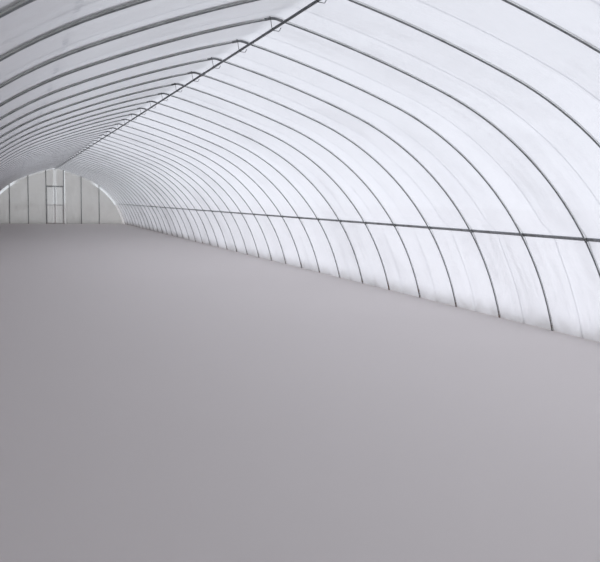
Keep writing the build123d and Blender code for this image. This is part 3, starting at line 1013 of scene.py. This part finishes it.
brackets = postBrackets()
endBattens = battens()
for end, turned in (("far", ()), ("near", (endways,))):
    for source, name, node, flipped in ((sideFilm, "FilmRight", "film_right", ()),
                                        (sideFilm, "FilmLeft", "film_left", (sideways,)),
                                        (overFilm, "FilmOverDoor", "film_over_door", ())):
        piece = copyOf(source, end + name, *flipped, *turned)
        dress(piece, endCloth, "end_film", [f"{end}_{node}"])
    for node, name in (("posts", "Posts"), ("door_posts", "DoorPosts"), ("door_head", "DoorHead")):
        piece = softened(f"{end}_{node}", end + name, wall["edge"])
        if node != "door_head":
            raiseTops(piece)
        dress(piece, postSteel, wall["slot"], [f"{end}_{node}"])
    for source, name, finish in ((brackets, "PostBrackets", screwSteel), (endBattens, "Battens", railSteel)):
        dress(copyOf(source, end + name, *turned), finish, wall["slot"])
for piece in (sideFilm, overFilm, brackets, endBattens):
    bpy.data.objects.remove(piece)
print("end walls ready")

# Door leaves: softened frames, film in both panels, a pull handle, and their hinges
leaf = {"edge": 0.0009, "film": 0.0008, "ripple": 0.0016, "midRail": 0.0063, "slot": "leaf_frame"}
pull = {"wire": 0.0021, "bend": 0.006, "height": 0.56, "half": 0.032, "out": 0.013, "aside": 0.010,
        "plate": (0.005, 0.0007, 0.006), "slot": "wire_and_hooks"}


def leafPanels(node, name, out):
    low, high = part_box(node)
    wide, middle, centre = high.x - low.x, (low.y + high.y) / 2, (low.z + high.z) / 2
    panels = []
    for bottom, top in ((low.z, centre - leaf["midRail"]), (centre + leaf["midRail"], high.z)):
        def place(share, up, bottom=bottom, tall=top - bottom):
            x, z = low.x + share * wide, bottom + up * tall
            swell = soft(min(share, 1 - share) * wide / 0.05) * soft(min(up, 1 - up) * tall / 0.05)
            ripple = wrinkles((x * 8.0, z * 4.0, out), (x * 25.0, z * 9.0, 7.0))
            return (x, middle - out * leaf["film"] / 2 + leaf["ripple"] * ripple * swell, z), (x, z)
        panels.append(clothGrid("panel", [i / 14 for i in range(15)], [i / 26 for i in range(27)], place,
                                leaf["film"], (0, out, 0)))
    return joined(panels, name)


def leafHandle(x, y, out, name):
    z, spread = pull["height"], pull["half"]
    inside, outside = y - out * 0.001, y + out * pull["out"]
    path = [(x, inside, z - spread), (x, outside, z - spread), (x, outside, z + spread), (x, inside, z + spread)]
    grip = bentRod("grip", path, pull["wire"], pull["bend"], 10, 4)
    size = Vector(pull["plate"])
    plates = [roundedBlock(Vector((x, y, place)) - size, Vector((x, y, place)) + size, 0.0004)
              for place in (z - spread, z + spread)]
    return joined([grip] + plates, name)


for end, out in (("far", 1), ("near", -1)):
    for side, sign in (("left", -1), ("right", 1)):
        body = f"far_{side}_leaf" if end == "far" else "root"
        title = end + side.capitalize() + "Leaf"
        frameNode, filmNode = f"{end}_{side}_leaf_frame", f"{end}_{side}_leaf_film"
        low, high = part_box(frameNode)
        dress(softened(frameNode, title + "Frame", leaf["edge"]), leafSteel, leaf["slot"], [frameNode], body)
        panels = dress(leafPanels(filmNode, title + "Film", out), leafCloth, "leaf_film", [filmNode], body)
        title + "Frame"
        handle = leafHandle(sign * pull["aside"], (high.y if out > 0 else low.y), out, title + "Handle")
        dress(handle, wireSteel, pull["slot"], (), body)
    dress(softened(f"{end}_hinge_hooks", f"{end}HingeHooks", 0.0004, 1), wireSteel, "wire_and_hooks",
          [f"{end}_hinge_hooks"])
print("door leaves ready")

# Floor, light and camera
clearSelection()
bpy.ops.mesh.primitive_plane_add(size=160, location=(0, 0, -0.0002))
floor = newest("floor")
floorRecipe = Recipe(bpy.data.materials.new("paleFloor"))
floor.data.materials.append(floorRecipe.finished(floorRecipe.node("ShaderNodeBsdfPrincipled", {}, {
    "Base Color": colour(0.67, 0.63, 0.62), "Roughness": 0.85, "Specular IOR Level": 0.2})))

light = {"world": 0.155, "worldColour": colour(1.0, 0.97, 0.975), "white": colour(0.97, 0.985, 1.0),
         "sun": 5.1, "sunColour": (0.99, 0.99, 1.0), "sunAngle": 30.0, "sunFrom": (0.80, -0.28, 0.50)}


# A dim world that looks white to the camera and in gloss and clear film
def lightWorld():
    recipe = Recipe(bpy.data.worlds.new("sky"))
    camera, glossy, transmission = (recipe.node("ShaderNodeLightPath", out=f"Is {ray} Ray")
                                    for ray in ("Camera", "Glossy", "Transmission"))
    seen = camera.withMath("MAXIMUM", camera.withMath("MAXIMUM", camera, glossy), transmission)
    dim = recipe.node("ShaderNodeBackground", {}, {"Color": light["worldColour"], "Strength": light["world"]})
    white = recipe.node("ShaderNodeBackground", {}, {"Color": light["white"], "Strength": 1.0})
    bpy.context.scene.world = recipe.finished(recipe.blend(seen, dim, white), "ShaderNodeOutputWorld")


lightWorld()
bpy.ops.object.light_add(type="SUN")
sun = newest("sun")
sun.data.energy = light["sun"]
sun.data.angle = math.radians(light["sunAngle"])
sun.data.color = light["sunColour"]
sun.rotation_euler = Vector(light["sunFrom"]).to_track_quat("Z", "Y").to_euler()

# Place in metres, turned right and down from the tunnel's length in degrees
view = {"place": (-1.1059, -12.1454, 0.7553), "right": 18.658, "down": 5.443, "roll": 0.806,
        "lens": 36 * 849.65 / 600}


def placeCamera():
    right, down, roll = (math.radians(view[name]) for name in ("right", "down", "roll"))
    forward = Vector((math.sin(right) * math.cos(down), math.cos(right) * math.cos(down), -math.sin(down)))
    across = Vector((math.cos(right), -math.sin(right), 0))
    turn = Matrix((across, across.cross(forward), -forward)).transposed() @ Matrix.Rotation(roll, 3, "Z")
    bpy.ops.object.camera_add()
    camera = newest("camera")
    camera.matrix_world = Matrix.Translation(view["place"]) @ turn.to_4x4()
    camera.data.lens = view["lens"]
    camera.data.sensor_width = 36
    camera.data.sensor_fit = "HORIZONTAL"
    camera.data.clip_start, camera.data.clip_end = 0.01, 400
    bpy.context.scene.camera = camera


placeCamera()
bpy.context.scene.view_settings.view_transform = "Standard"
bpy.context.view_layer.update()
print("scene ready")
